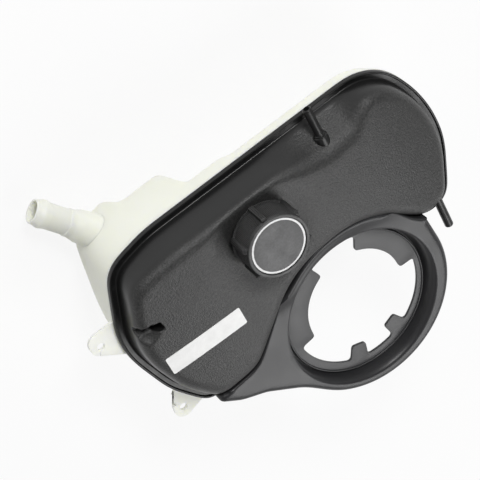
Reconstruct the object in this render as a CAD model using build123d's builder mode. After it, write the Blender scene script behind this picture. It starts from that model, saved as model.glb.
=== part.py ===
from build123d import *
from math import cos, radians, sin
import os

os.makedirs("parts", exist_ok=True)

# Coolant expansion tank: a natural lower shell hot-plate welded to a black upper shell, a black collar
# panel screwed on behind it, and a screw cap that carries the pressure and vacuum valves.
# Millimetres, +Z up. The origin is midway between the two tab holes, on the face that the tabs sit on.

# Walls and weld flanges
wall = 2.5
spare = 10.0
flange_thick = 3.0
flange_wide = 7.0
lip_wide = 2.0
lip_high = 2.0
weld_z = flange_thick
deck_z = weld_z + flange_thick

# Tank outline at the weld flange, as corners (x, y, radius), from the front left round to the front
foot_corners = [
    (-304, -124.5, 45), (-337, -58, 80), (-335.5, -8, 90), (-315.5, 54, 20), (-290, 55, 18),
    (-224, -14, 78), (-156, -14, 78), (-84.8, 60, 18), (-37, 66, 16), (-9.5, 26, 80),
    (8.5, -42, 90), (-22.5, -115, 28), (-75, -124.5, 100),
]
# The same corners at the crown, drawn in by the draft of the walls, most at the back
crown_corners = [
    (-294, -110, 38), (-317, -66, 50), (-317, -2, 45), (-304, 22, 18), (-274, 22, 16),
    (-229, -25.5, 91), (-151, -25.5, 91), (-87, 40, 20), (-47, 40, 16), (-23, 18, 65),
    (-10.5, -39, 100), (-29, -101.5, 22), (-75, -110, 100),
]
crown_z = 42.0
crown_radius = 1300.0
crown_middle = (-130, -50)
crown_round = 7.0
draft_top = crown_z + 2

# Hose routing scoop in the front wall
scoop_x = -236.0
scoop_foot_long = 44.0
scoop_top_long = 92.0
scoop_top_y = -90.0
scoop_front_y = -150.0
scoop_corner = 12.0

# Clip pocket in the end wall
pocket_x, pocket_y, pocket_floor_z = -13.0, -72.5, 30.0
pocket_long, pocket_wide, pocket_round, pocket_turn = 44.0, 9.0, 3.0, -14.8

# Filler neck and the dish that it stands in
neck_x, neck_y = -145.0, -77.0
neck_bore = 21.0
neck_wall = 3.6
throat_r = 17.0
throat_z = 37.0
dish_floor_z = 35.0
dish_radius = 185.0

# Hose stubs
stub_r = 4.0
stub_bore = 2.6
stub_collar_r = 6.2
stub_collar_long = 7.0
front_stub_x, front_stub_z = -231.0, 24.0
front_stub_root_y, front_stub_tip_y = -100.0, -138.5
rear_stub_x, rear_stub_z = -301.5, 18.0
rear_stub_root_y, rear_stub_tip_y = 25.0, 65.5
rear_collar_tip_y = 46.5

# Lower shell
shell_inset = 3.5
shell_draft = 2.0
shell_depth = 80.0
tray_z = -13.0
sill_z = -21.0
sump_z = -54.0
well_z = -75.0
sill_ramp = (-165, -155)
sump_ramp = (-124, -113)
well_ramp = (-78, -66)
end_ramp_x, end_ramp_z = -19, -25
keel_y, keel_drop = -110, 4
knee_y, knee_z = -55, -36
tray_front_y = -22
ramp_round = 5.0
keel_round = 8.0
baffle_thick = 2.0
baffle_gate = 8.0
baffle_top_z = -1.0
baffle_xs = [-265, -205, -140]
baffle_gate_ys = [-80, -30]

# Outlet spigot
spigot_root = (-32.8, -122, -58)
spigot_turn = -55.8
spigot_fall = 7.5
spigot_long = 46.0
spigot_buried = 18.0
spigot_r = 11.3
spigot_bore = 8.6
bead_r = 12.3
bead_back = 8.0
bead_long = 6.0
bead_flat = 3.0
bead_round = 1.0
mouth_r = 10.7

# Mounting tabs, thick as the lower flange
tab_hole_r = 3.5
tab_round = 6.0
end_tab_hole = (14.75, -54.65)
rear_tab_hole = (-14.75, 54.65)
end_tab_corners = [(-12, -69), (19, -69), (26, -52), (10, -36), (-12, -30)]
rear_tab_corners = [(-26, 30), (-12, 30), (-3, 50), (-8, 66), (-20, 70), (-44, 60)]

# Collar panel with its bell mouth and toothed ring
ring_x, ring_y = -193.0, 65.0
panel_r = 89.0
edge_x, edge_y = -195.5, 66.5
panel_top_z = 31.0
panel_foot_z = 10.0
panel_round = 6.0
panel_gap = 0.8
panel_tip = (-46, 52)
panel_notch = (-277, 30)
panel_corner_r = 4.5
bell_r = 73.0
bell_roll = 9.0
tooth_deck_z = 19.5
gap_r = 64.0
tooth_r = 49.0
tooth_round = 2.5
tooth_lap = 1.0
wide_teeth = [(-69, 6), (177, 247)]
narrow_teeth = [(61, 77), (103, 119)]

# Screws that hold the panel to the weld flange
screw_angles = [-128, -103, -77, -52]
post_r = 2.0
post_gap = 0.6
screw_r = 1.1
screw_head_r = 2.6
screw_head_thick = 1.6
screw_bite = 9.0
screw_spare = 1.0
driver_bay_r = 3.8
slip = 0.05

# Cap
cap_top_z = 68.0
cap_r = 29.0
cap_foot_r = 30.0
cap_height = 25.5
cap_wall = 2.4
cap_rim_high = 3.0
grip_count = 6
grip_wide = 7.0
grip_out = 2.2
grip_start = 30
face_r = 25.5
face_sink = 0.8
face_thick = 0.6
skirt_gap = 1.4
cap_draft = 1.0
cap_round = 1.2
grip_down = 1.5

# Valve insert
insert_flange_thick = 2.0
insert_r = neck_bore - 0.6
insert_wall = 4.0
insert_foot_z = 38.0
seat_r = 9.0
seat_thick = 2.0
seal_thick = 1.1
ring_wire = 1.3
ring_z = 54.0
housing_round = 1.0

# Pressure and vacuum valves
rest_gap = 0.1
plate_r = 14.0
plate_thick = 1.6
plate_seal_thick = 1.3
plate_lap = 1.0
keeper_z = 57.0
keeper_thick = 2.0
keeper_hole = 6.0
keeper_slot = 3.0
locator_high = 1.5
seal_lap = 1.5
stem_slip = 0.1
port_r = 0.8
clip_bite = 0.5
vent_high = 4.0
vent_wide = 5.0
spring_r = 10.5
spring_wire = 0.7
spring_turns = 5
wire_sides = 8
poppet_r = 5.2
poppet_thick = 1.2
stem_r = 1.5
stem_top_z = 51.0
clip_r = 3.4
clip_thick = 0.9
clip_mouth = 2.4
small_spring_r = 2.6
small_spring_wire = 0.35
small_spring_turns = 6

# Heights that follow from the cap: its ceiling, the insert hung under it, and the neck that it closes on
cap_foot_z = cap_top_z - cap_height
ceiling_z = cap_top_z - face_sink - cap_wall
insert_top_z = ceiling_z - slip
insert_deck_z = insert_top_z - insert_flange_thick
neck_top_z = insert_deck_z - seal_thick - slip
seat_z = insert_foot_z + seat_thick
plate_z = seat_z + rest_gap + plate_seal_thick
skirt_r = neck_bore + neck_wall + skirt_gap

# Paper label, left bare
label_x, label_y = -57.5, -20.0
label_long, label_wide, label_thick, label_corner = 75.0, 19.0, 0.3, 1.5


def outline(corners, z, inset=0.0):
    """The tank outline as a face at height z, drawn in by inset."""
    with BuildSketch(Plane.XY.offset(z)) as sketch:
        with BuildLine():
            FilletPolyline(*[(x, y) for x, y, r in corners], radius=[r for x, y, r in corners], close=True)
        make_face()
        if inset:
            offset(amount=-inset, kind=Kind.ARC)
    return sketch.sketch


def scoop(grown):
    """The cutter for the sloped hose routing scoop, grown on every side."""
    foot_y = foot_corners[0][1] + flange_wide
    with BuildPart() as cutter:
        for z, long, back_y in ((deck_z, scoop_foot_long, foot_y), (draft_top, scoop_top_long, scoop_top_y)):
            with BuildSketch(Plane.XY.offset(z)):
                with Locations((scoop_x, (scoop_front_y + back_y + grown) / 2)):
                    RectangleRounded(long + 2 * grown, back_y + grown - scoop_front_y, scoop_corner)
        loft(ruled=True)
    return cutter.part


def pocket(grown):
    """The cutter for the clip pocket, open to the end wall, grown on every side."""
    with BuildPart() as cutter:
        with BuildSketch(Plane.XY.offset(pocket_floor_z - grown)):
            with Locations(Location((pocket_x, pocket_y), pocket_turn)):
                RectangleRounded(pocket_long + 2 * grown, pocket_wide + 2 * grown, pocket_round + grown)
        extrude(amount=draft_top - pocket_floor_z + grown)
    return cutter.part


def dome(shrink):
    """The drafted dome with its crowned top, scoop, pocket and dish, drawn in by shrink."""
    with BuildPart() as form:
        loft([outline(foot_corners, deck_z, flange_wide + shrink), outline(crown_corners, draft_top, shrink)],
             ruled=True)
        with Locations((*crown_middle, crown_z - crown_radius)):
            Sphere(crown_radius - shrink, mode=Mode.INTERSECT)
        fillet(form.faces().filter_by(GeomType.SPHERE).edges(), crown_round - shrink)
        add(scoop(shrink), mode=Mode.SUBTRACT)
        add(pocket(shrink), mode=Mode.SUBTRACT)
        with Locations((neck_x, neck_y, dish_floor_z + dish_radius)):
            Sphere(dish_radius + shrink, mode=Mode.SUBTRACT)
    return form.part


def rod(plane, radius, length):
    """A round bar that starts on a plane and runs along its normal."""
    with BuildPart() as bar:
        with BuildSketch(plane):
            Circle(radius)
        extrude(amount=length)
    return bar.part


neck_foot = Plane(origin=(neck_x, neck_y, dish_floor_z - wall))
neck_high = neck_top_z - dish_floor_z + wall
neck_step = Plane(origin=(neck_x, neck_y, throat_z))
front_stub = Plane(origin=(front_stub_x, front_stub_root_y, front_stub_z), z_dir=(0, -1, 0))
rear_stub = Plane(origin=(rear_stub_x, rear_stub_root_y, rear_stub_z), z_dir=(0, 1, 0))
front_stub_long = front_stub_root_y - front_stub_tip_y
rear_stub_long = rear_stub_tip_y - rear_stub_root_y
bite_left, bite_right = foot_corners[5], foot_corners[6]
bite_r = bite_left[2]
bite_x, bite_y = (bite_left[0] + bite_right[0]) / 2, bite_left[1] + bite_r
post_line_r = bite_r + lip_wide + post_gap + post_r
screw_spots = [
    (bite_x + post_line_r * cos(radians(a)), bite_y + post_line_r * sin(radians(a))) for a in screw_angles
]

with BuildPart() as upper_shell:
    add(outline(foot_corners, weld_z))
    extrude(amount=flange_thick)
    with BuildSketch(Plane.XY.offset(deck_z)):
        add(outline(foot_corners, 0))
        add(outline(foot_corners, 0, lip_wide), mode=Mode.SUBTRACT)
    extrude(amount=lip_high)
    add(dome(0))
    add(rod(neck_foot, neck_bore + neck_wall, neck_high))
    add(rod(front_stub, stub_r, front_stub_long))
    add(rod(front_stub, stub_collar_r, stub_collar_long + wall))
    add(rod(rear_stub, stub_r, rear_stub_long))
    add(rod(rear_stub, stub_collar_r, rear_collar_tip_y - rear_stub_root_y))
    add(dome(wall), mode=Mode.SUBTRACT)
    with BuildSketch(Plane.XY.offset(weld_z)):
        add(outline(foot_corners, 0, flange_wide + wall))
    extrude(amount=flange_thick, mode=Mode.SUBTRACT)
    add(rod(neck_step, neck_bore, neck_high), mode=Mode.SUBTRACT)
    add(rod(neck_foot.offset(-wall), throat_r, neck_high), mode=Mode.SUBTRACT)
    add(rod(front_stub.offset(-2 * wall), stub_bore, front_stub_long + 3 * wall), mode=Mode.SUBTRACT)
    add(rod(rear_stub.offset(-2 * wall), stub_bore, rear_stub_long + 3 * wall), mode=Mode.SUBTRACT)
    with BuildSketch(Plane.XY.offset(weld_z)):
        with Locations(screw_spots):
            Circle(screw_r + slip)
    extrude(amount=flange_thick, mode=Mode.SUBTRACT)
upper_shell.part.label = "upper_shell"
export_step(upper_shell.part, "parts/upper_shell.step")


def tub(shrink):
    """The lower shell's form below the flange, drawn in by shrink, with a bay under each panel screw."""
    inset = shell_inset + shrink
    left, right = foot_corners[2][0] - spare, foot_corners[10][0] + spare
    front, back = foot_corners[0][1] - spare, foot_corners[7][1] + spare
    keel_z = well_z - keel_drop
    with BuildPart() as form:
        loft([outline(foot_corners, 0, inset), outline(foot_corners, -shell_depth, inset + shell_draft)],
             ruled=True)
        with BuildSketch(Plane.XZ.offset(-back)):
            with BuildLine():
                FilletPolyline((left, spare), (left, tray_z), (sill_ramp[0], tray_z), (sill_ramp[1], sill_z),
                               (sump_ramp[0], sill_z), (sump_ramp[1], sump_z), (well_ramp[0], sump_z),
                               (well_ramp[1], well_z), (end_ramp_x, well_z), (right, end_ramp_z),
                               (right, spare), radius=ramp_round, close=True)
            make_face()
            if shrink:
                offset(amount=-shrink, kind=Kind.ARC)
        extrude(amount=back - front, mode=Mode.INTERSECT)
        with BuildSketch(Plane.YZ.offset(left)):
            with BuildLine():
                FilletPolyline((front, spare), (front, keel_z), (keel_y, keel_z), (knee_y, knee_z),
                               (tray_front_y, tray_z), (back, tray_z), (back, spare), radius=keel_round,
                               close=True)
            make_face()
            if shrink:
                offset(amount=-shrink, kind=Kind.ARC)
        extrude(amount=right - left, mode=Mode.INTERSECT)
        with BuildSketch(Plane.XY.offset(-shell_depth)):
            with Locations(screw_spots):
                Circle(driver_bay_r + shrink)
        extrude(amount=shell_depth, mode=Mode.SUBTRACT)
    return form.part


def baffles():
    """Surge plates across the tray and the sump, each with a gate at the floor."""
    with BuildPart() as plates:
        add(tub(wall / 2))
        with BuildSketch(Plane.XZ.offset(-foot_corners[7][1])):
            with Locations([(x, (baffle_top_z - shell_depth) / 2) for x in baffle_xs]):
                Rectangle(baffle_thick, shell_depth + baffle_top_z)
        extrude(amount=foot_corners[7][1] - foot_corners[0][1], mode=Mode.INTERSECT)
        for y in baffle_gate_ys:
            with BuildSketch(Plane.YZ.offset(baffle_xs[0] - wall)):
                with Locations((y, tray_z + wall / 2)):
                    Circle(baffle_gate)
            extrude(amount=baffle_xs[-1] - baffle_xs[0] + 2 * wall, mode=Mode.SUBTRACT)
    return plates.part


def tab(corners, hole):
    """A mounting tab, as thick as the lower flange."""
    with BuildPart() as ear:
        with BuildSketch():
            with BuildLine():
                FilletPolyline(*corners, radius=tab_round, close=True)
            make_face()
            with Locations(hole):
                Circle(tab_hole_r, mode=Mode.SUBTRACT)
        extrude(amount=flange_thick)
    return ear.part


def nozzle():
    """The outlet's hose nozzle along +Z from the origin, with a bead and a tapered mouth."""
    bead_z = spigot_long - bead_back
    with BuildPart() as tube:
        with BuildSketch(Plane.XZ):
            with BuildLine():
                Polyline((0, -spigot_buried), (spigot_r, -spigot_buried), (spigot_r, bead_z - bead_long),
                         (bead_r, bead_z - bead_flat / 2), (bead_r, bead_z + bead_flat / 2), (mouth_r, spigot_long),
                         (0, spigot_long), close=True)
            make_face()
        revolve(axis=Axis.Z)
        fillet(tube.edges().filter_by(GeomType.CIRCLE).sort_by(Axis.Z)[1:4], bead_round)
    return tube.part


spigot = Plane(origin=spigot_root, z_dir=(
    cos(radians(spigot_turn)) * cos(radians(spigot_fall)),
    sin(radians(spigot_turn)) * cos(radians(spigot_fall)),
    -sin(radians(spigot_fall))))
with BuildPart() as lower_shell:
    add(outline(foot_corners, 0))
    extrude(amount=flange_thick)
    add(tub(0))
    add(tab(end_tab_corners, end_tab_hole))
    add(tab(rear_tab_corners, rear_tab_hole))
    add(spigot * nozzle())
    add(tub(wall), mode=Mode.SUBTRACT)
    with BuildSketch():
        add(outline(foot_corners, 0, flange_wide + wall))
    extrude(amount=flange_thick, mode=Mode.SUBTRACT)
    add(rod(spigot.offset(-spigot_buried), spigot_bore, spigot_long + spigot_buried), mode=Mode.SUBTRACT)
    add(baffles())
    with BuildSketch():
        with Locations(screw_spots):
            Circle(screw_r + slip)
    extrude(amount=flange_thick, mode=Mode.SUBTRACT)
lower_shell.part.label = "lower_shell"
export_step(lower_shell.part, "parts/lower_shell.step")


def panel_outline(inset):
    """The panel's outer edge: the ring with straight runs to the notch and to the tip."""
    with BuildSketch() as sketch:
        with Locations((edge_x, edge_y)):
            Circle(panel_r - inset)
        with Locations(panel_tip, panel_notch):
            Circle(panel_corner_r - inset)
        make_hull()
    return sketch.sketch


def dome_room(spread):
    """The space that the dome's drafted walls take, grown by spread."""
    with BuildPart() as room:
        foot = outline(foot_corners, deck_z, flange_wide - spread)
        loft([foot, outline(crown_corners, draft_top, -spread)], ruled=True)
    return room.part


def panel_form(inset, top_z, round_r):
    """A solid cushion inside the panel's edge, clear of the dome, drawn in by inset."""
    with BuildPart() as form:
        with BuildSketch(Plane.XY.offset(panel_foot_z)):
            add(panel_outline(inset))
        extrude(amount=top_z - panel_foot_z)
        fillet(form.faces().sort_by(Axis.Z)[-1].edges(), round_r)
        add(dome_room(panel_gap + inset), mode=Mode.SUBTRACT)
    return form.part


def ring_sector(inner, outer, start, end):
    """A flat sector between two radii and two angles, centred on the origin."""
    with BuildSketch() as sketch:
        with BuildLine():
            low = CenterArc((0, 0), inner, start, end - start)
            high = CenterArc((0, 0), outer, start, end - start)
            Line(low @ 0, high @ 0)
            Line(low @ 1, high @ 1)
        make_face()
    return sketch.sketch


ring_plane = Plane(origin=(ring_x, ring_y, 0))
roll_z = panel_top_z - bell_roll
with BuildPart() as bell_mouth:
    with BuildSketch(Plane.XZ):
        with BuildLine():
            top = CenterArc((bell_r + bell_roll, roll_z), bell_roll, 90, 90)
            low = CenterArc((bell_r + bell_roll, roll_z), bell_roll - wall, 90, 90)
            Line(top @ 0, low @ 0)
            Line(top @ 1, low @ 1)
        make_face()
        with Locations((bell_r + wall / 2, (roll_z + tooth_deck_z - wall) / 2)):
            Rectangle(wall, roll_z - tooth_deck_z + wall)
        with Locations(((gap_r + bell_r) / 2, tooth_deck_z - wall / 2)):
            Rectangle(bell_r - gap_r, wall)
    revolve(axis=Axis.Z)
    with BuildSketch(Plane.XY.offset(tooth_deck_z - wall)):
        for start, end in wide_teeth + narrow_teeth:
            add(ring_sector(tooth_r, gap_r + tooth_lap, start, end))
        fillet(vertices().filter_by(lambda v: (v.X**2 + v.Y**2) ** 0.5 < (tooth_r + gap_r) / 2), tooth_round)
    extrude(amount=wall)

with BuildPart() as collar_panel:
    add(panel_form(0, panel_top_z, panel_round))
    add(panel_form(wall, panel_top_z - wall, panel_round - wall), mode=Mode.SUBTRACT)
    add(rod(ring_plane, bell_r + bell_roll, panel_top_z), mode=Mode.SUBTRACT)
    add(ring_plane * bell_mouth.part)
    add(dome_room(panel_gap), mode=Mode.SUBTRACT)
    with BuildSketch(Plane.XY.offset(deck_z)):
        with Locations(screw_spots):
            Circle(post_r)
    extrude(amount=panel_top_z - wall - deck_z)
    with BuildSketch(Plane.XY.offset(deck_z)):
        with Locations(screw_spots):
            Circle(screw_r + slip)
    extrude(amount=screw_bite, mode=Mode.SUBTRACT)
collar_panel.part.label = "collar_panel"
export_step(collar_panel.part, "parts/collar_panel.step")

for number, (x, y) in enumerate(screw_spots, 1):
    with BuildPart() as screw:
        add(rod(Plane(origin=(x, y, -screw_head_thick)), screw_head_r, screw_head_thick))
        add(rod(Plane(origin=(x, y, 0)), screw_r, deck_z + screw_bite - screw_spare))
        fillet(screw.faces().sort_by(Axis.Z)[0].edges(), screw_head_thick / 2)
        with BuildSketch(Plane(origin=(x, y, -screw_head_thick))):
            RegularPolygon(screw_head_r / 2, 6)
        extrude(amount=screw_head_thick / 2, mode=Mode.SUBTRACT)
    name = f"panel_screw_{number}"
    screw.part.label = name
    export_step(screw.part, f"parts/{name}.step")

# Cap: skirt with six grips, a raised border round the face, and a wider foot between the grips
cap_plane = Plane(origin=(neck_x, neck_y, cap_foot_z))
with BuildPart() as cap_shell:
    with BuildSketch(cap_plane):
        Circle(cap_foot_r)
    extrude(amount=cap_rim_high)
    with BuildSketch(cap_plane.offset(cap_rim_high)):
        Circle(cap_r)
    extrude(amount=cap_height - cap_rim_high, taper=cap_draft)
    with BuildSketch(cap_plane):
        with PolarLocations((cap_foot_r + grip_out) / 2, grip_count, grip_start):
            Rectangle(cap_foot_r + grip_out, grip_wide)
    extrude(amount=cap_height - grip_down, taper=cap_draft)
    fillet(cap_shell.edges().group_by(Axis.Z)[-1], cap_round)
    with BuildSketch(cap_plane.offset(cap_height)):
        Circle(face_r)
    extrude(amount=-face_sink, mode=Mode.SUBTRACT)
    with BuildSketch(cap_plane):
        Circle(skirt_r)
    extrude(amount=ceiling_z - cap_foot_z, mode=Mode.SUBTRACT)
cap_shell.part.label = "cap_shell"
export_step(cap_shell.part, "parts/cap_shell.step")

with BuildPart() as cap_face:
    add(rod(cap_plane.offset(cap_height - face_sink), face_r - slip, face_thick))
cap_face.part.label = "cap_face"
export_step(cap_face.part, "parts/cap_face.step")

# Valve insert: hangs in the neck under the cap's ceiling and doesn't turn with it
neck_line = Plane(origin=(neck_x, neck_y, 0))
groove_r = neck_bore - slip - 2 * ring_wire
with BuildPart() as valve_housing:
    add(rod(neck_line.offset(insert_deck_z), skirt_r - skirt_gap / 4, insert_flange_thick))
    add(rod(neck_line.offset(insert_foot_z), insert_r, insert_deck_z - insert_foot_z))
    fillet(valve_housing.edges().group_by(Axis.Z)[0], housing_round)
    add(rod(neck_line.offset(seat_z), insert_r - insert_wall, insert_deck_z - seat_z), mode=Mode.SUBTRACT)
    add(rod(neck_line.offset(insert_foot_z), seat_r, seat_thick), mode=Mode.SUBTRACT)
    with BuildSketch(neck_line.offset(ring_z - ring_wire)):
        Circle(insert_r + slip)
        Circle(groove_r - slip, mode=Mode.SUBTRACT)
    extrude(amount=2 * ring_wire, mode=Mode.SUBTRACT)
    with BuildSketch(neck_line.offset(keeper_z - vent_high)):
        with PolarLocations(insert_r - insert_wall / 2, 4, 45):
            Rectangle(insert_wall + 4 * slip, vent_wide)
    extrude(amount=vent_high / 2, mode=Mode.SUBTRACT)
valve_housing.part.label = "valve_housing"
export_step(valve_housing.part, "parts/valve_housing.step")

with BuildPart() as neck_ring:
    with Locations((neck_x, neck_y, ring_z)):
        Torus(groove_r + ring_wire, ring_wire)
neck_ring.part.label = "neck_ring"
export_step(neck_ring.part, "parts/neck_ring.step")

with BuildPart() as face_seal:
    with BuildSketch(neck_line.offset(insert_deck_z - seal_thick)):
        Circle(neck_bore + neck_wall - slip)
        Circle(insert_r + slip, mode=Mode.SUBTRACT)
    extrude(amount=seal_thick)
face_seal.part.label = "face_seal"
export_step(face_seal.part, "parts/face_seal.step")

with BuildPart() as spring_keeper:
    add(rod(neck_line.offset(keeper_z), insert_r - insert_wall - slip, keeper_thick))
    add(rod(neck_line.offset(keeper_z), keeper_hole, keeper_thick), mode=Mode.SUBTRACT)
    with BuildSketch(neck_line.offset(keeper_z)):
        with PolarLocations(insert_r - insert_wall - keeper_slot / 2, 4):
            Rectangle(2 * keeper_slot, keeper_slot)
    extrude(amount=keeper_thick, mode=Mode.SUBTRACT)
spring_keeper.part.label = "spring_keeper"
export_step(spring_keeper.part, "parts/spring_keeper.step")

# Pressure valve: a plate with a seal on the insert's seat, pushed down by the large spring
with BuildPart() as plate_seal:
    with BuildSketch(neck_line.offset(plate_z - plate_seal_thick)):
        Circle(plate_r - plate_lap)
        Circle(seat_r - seal_lap, mode=Mode.SUBTRACT)
    extrude(amount=plate_seal_thick)
plate_seal.part.label = "plate_seal"
export_step(plate_seal.part, "parts/plate_seal.step")

with BuildPart() as pressure_plate:
    add(rod(neck_line.offset(plate_z), plate_r, plate_thick))
    add(rod(neck_line.offset(plate_z), spring_r - 2 * spring_wire, plate_thick + locator_high))
    add(rod(neck_line.offset(plate_z + plate_thick), spring_r - 4 * spring_wire, locator_high),
        mode=Mode.SUBTRACT)
    with BuildSketch(neck_line.offset(plate_z)):
        Circle(stem_r + stem_slip)
        with PolarLocations((stem_r + poppet_r) / 2, 4):
            Circle(port_r)
    extrude(amount=plate_thick, mode=Mode.SUBTRACT)
pressure_plate.part.label = "pressure_plate"
export_step(pressure_plate.part, "parts/pressure_plate.step")


def coil(start_z, end_z, radius, wire, turns):
    """A helical compression spring between two heights on the neck's axis."""
    height = end_z - start_z - 2 * wire
    with BuildPart() as spring:
        with BuildLine(neck_line.offset(start_z + wire)):
            path = Helix(height / turns, height, radius)
        with BuildSketch(Plane(origin=path @ 0, z_dir=path % 0)):
            RegularPolygon(wire, wire_sides)
        sweep(path=path, is_frenet=True)
    return spring.part


pressure_spring = coil(plate_z + plate_thick, keeper_z, spring_r, spring_wire, spring_turns)
pressure_spring.label = "pressure_spring"
export_step(pressure_spring, "parts/pressure_spring.step")

# Vacuum valve: a poppet under the plate's ports, held up by the small spring on its stem
clip_z = stem_top_z - 2 * clip_thick
with BuildPart() as vacuum_poppet:
    add(rod(neck_line.offset(plate_z - rest_gap - poppet_thick), poppet_r, poppet_thick))
    add(rod(neck_line.offset(plate_z - rest_gap - poppet_thick), stem_r, stem_top_z - plate_z + poppet_thick))
    fillet(vacuum_poppet.edges().group_by(Axis.Z)[0], poppet_thick / 3)
    with BuildSketch(neck_line.offset(clip_z)):
        Circle(stem_r + slip)
        Circle(stem_r - clip_bite, mode=Mode.SUBTRACT)
    extrude(amount=clip_thick, mode=Mode.SUBTRACT)
vacuum_poppet.part.label = "vacuum_poppet"
export_step(vacuum_poppet.part, "parts/vacuum_poppet.step")

with BuildPart() as stem_clip:
    with BuildSketch(neck_line.offset(clip_z)):
        Circle(clip_r)
        Circle(stem_r - clip_bite + slip, mode=Mode.SUBTRACT)
        with Locations((clip_r, 0)):
            Rectangle(2 * clip_r, clip_mouth, mode=Mode.SUBTRACT)
    extrude(amount=clip_thick - slip)
stem_clip.part.label = "stem_clip"
export_step(stem_clip.part, "parts/stem_clip.step")

vacuum_spring = coil(plate_z + plate_thick, clip_z, small_spring_r, small_spring_wire, small_spring_turns)
vacuum_spring.label = "vacuum_spring"
export_step(vacuum_spring, "parts/vacuum_spring.step")

with BuildPart() as blank_label:
    with BuildSketch(Plane.XY.offset(crown_z / 2)):
        with Locations((label_x, label_y)):
            RectangleRounded(label_long, label_wide, label_corner)
    extrude(amount=crown_z)
    with Locations((*crown_middle, crown_z - crown_radius)):
        Sphere(crown_radius + label_thick, mode=Mode.INTERSECT)
        Sphere(crown_radius, mode=Mode.SUBTRACT)
blank_label.part.label = "blank_label"
export_step(blank_label.part, "parts/blank_label.step")
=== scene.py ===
import bpy
import bmesh
import numpy as np
from math import atan2, cos, pi, radians, sin, tan
from mathutils import Matrix, Vector
from mathutils.geometry import delaunay_2d_cdt


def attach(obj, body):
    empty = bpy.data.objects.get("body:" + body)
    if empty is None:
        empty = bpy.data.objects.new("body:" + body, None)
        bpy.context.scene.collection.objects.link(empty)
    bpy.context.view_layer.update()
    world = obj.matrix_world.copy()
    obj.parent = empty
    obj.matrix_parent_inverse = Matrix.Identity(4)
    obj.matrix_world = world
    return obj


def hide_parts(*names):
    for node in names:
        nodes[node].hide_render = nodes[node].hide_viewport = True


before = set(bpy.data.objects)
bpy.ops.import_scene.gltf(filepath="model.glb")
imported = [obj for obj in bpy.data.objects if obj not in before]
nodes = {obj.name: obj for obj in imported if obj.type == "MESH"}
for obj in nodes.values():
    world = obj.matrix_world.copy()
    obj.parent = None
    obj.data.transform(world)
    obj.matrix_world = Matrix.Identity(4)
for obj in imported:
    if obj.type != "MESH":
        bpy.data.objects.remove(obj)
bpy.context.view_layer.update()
MM = 0.001


def camera():
    """Looks down past the cap, rolled so that the tank's length runs up to the right."""
    right = Vector((-0.78371, 0.39581, 0.47868))
    up = Vector((-0.60112, -0.67735, -0.42409))
    back = Vector((0.15637, -0.62011, 0.76877))
    lens = bpy.data.cameras.new("camera")
    lens.lens, lens.sensor_width = 135.0, 36.0
    lens.clip_start, lens.clip_end = 0.05, 20.0
    eye = bpy.data.objects.new("camera", lens)
    turn = Matrix((right, up, back)).transposed().to_4x4()
    eye.matrix_world = Matrix.Translation((0.1048, -0.9968, 1.1708)) @ turn
    bpy.context.scene.collection.objects.link(eye)
    bpy.context.scene.camera = eye


camera()

# Sizes in millimetres, from the tank's drawing
WALL = 2.5
WELD_Z, DECK_Z, FLANGE_WIDE = 3.0, 6.0, 7.0
FOOT = [
    (-305, -125, 54), (-338.5, -58, 138), (-335.5, -8, 90), (-316, 47.5, 18), (-289, 48.5, 18),
    (-224, -14, 78), (-156, -14, 78), (-84.8, 60, 18), (-37, 66, 16), (-12.5, 25, 80),
    (5, -42, 90), (-22.5, -116, 28), (-66, -125.5, 80),
]
CROWN = [
    (-297, -111, 38), (-331, -58, 110), (-328, -6, 75), (-307, 28, 16), (-274, 26, 16),
    (-228, -19, 82), (-152, -19, 82), (-87, 42, 20), (-47, 44, 16), (-25, 17, 65),
    (-4.5, -41, 100), (-25, -104.5, 22), (-75, -110, 100),
]
CROWN_Z, CROWN_RADIUS, CROWN_MIDDLE, DRAFT_TOP = 42.0, 1300.0, (-130.0, -50.0), 44.0
CROWN_FALL_X, CROWN_FALL = -262.0, 800.0
DISH_Z, DISH_RADIUS = 35.0, 185.0
CRESCENT_AT, CRESCENT_HALF, CRESCENT_Z, CRESCENT_RISE = (-17.5, -60.0), (13.5, 9.5), 30.5, 9.0
SCOOP_DEEP = 22.0
NECK = (-145.0, -77.0)
RING = (-193.0, 65.0)


def smoothstep(low, high, value):
    """Nothing at low and one at high, with level ends."""
    t = np.clip((np.asarray(value, float) - low) / (high - low), 0, 1)
    return t * t * (3 - 2 * t)


def soft_min(a, b, k):
    """The lower of two values, blended over a width k."""
    h = np.clip(0.5 + 0.5 * (b - a) / k, 0, 1)
    return b * (1 - h) + a * h - k * h * (1 - h)


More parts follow.
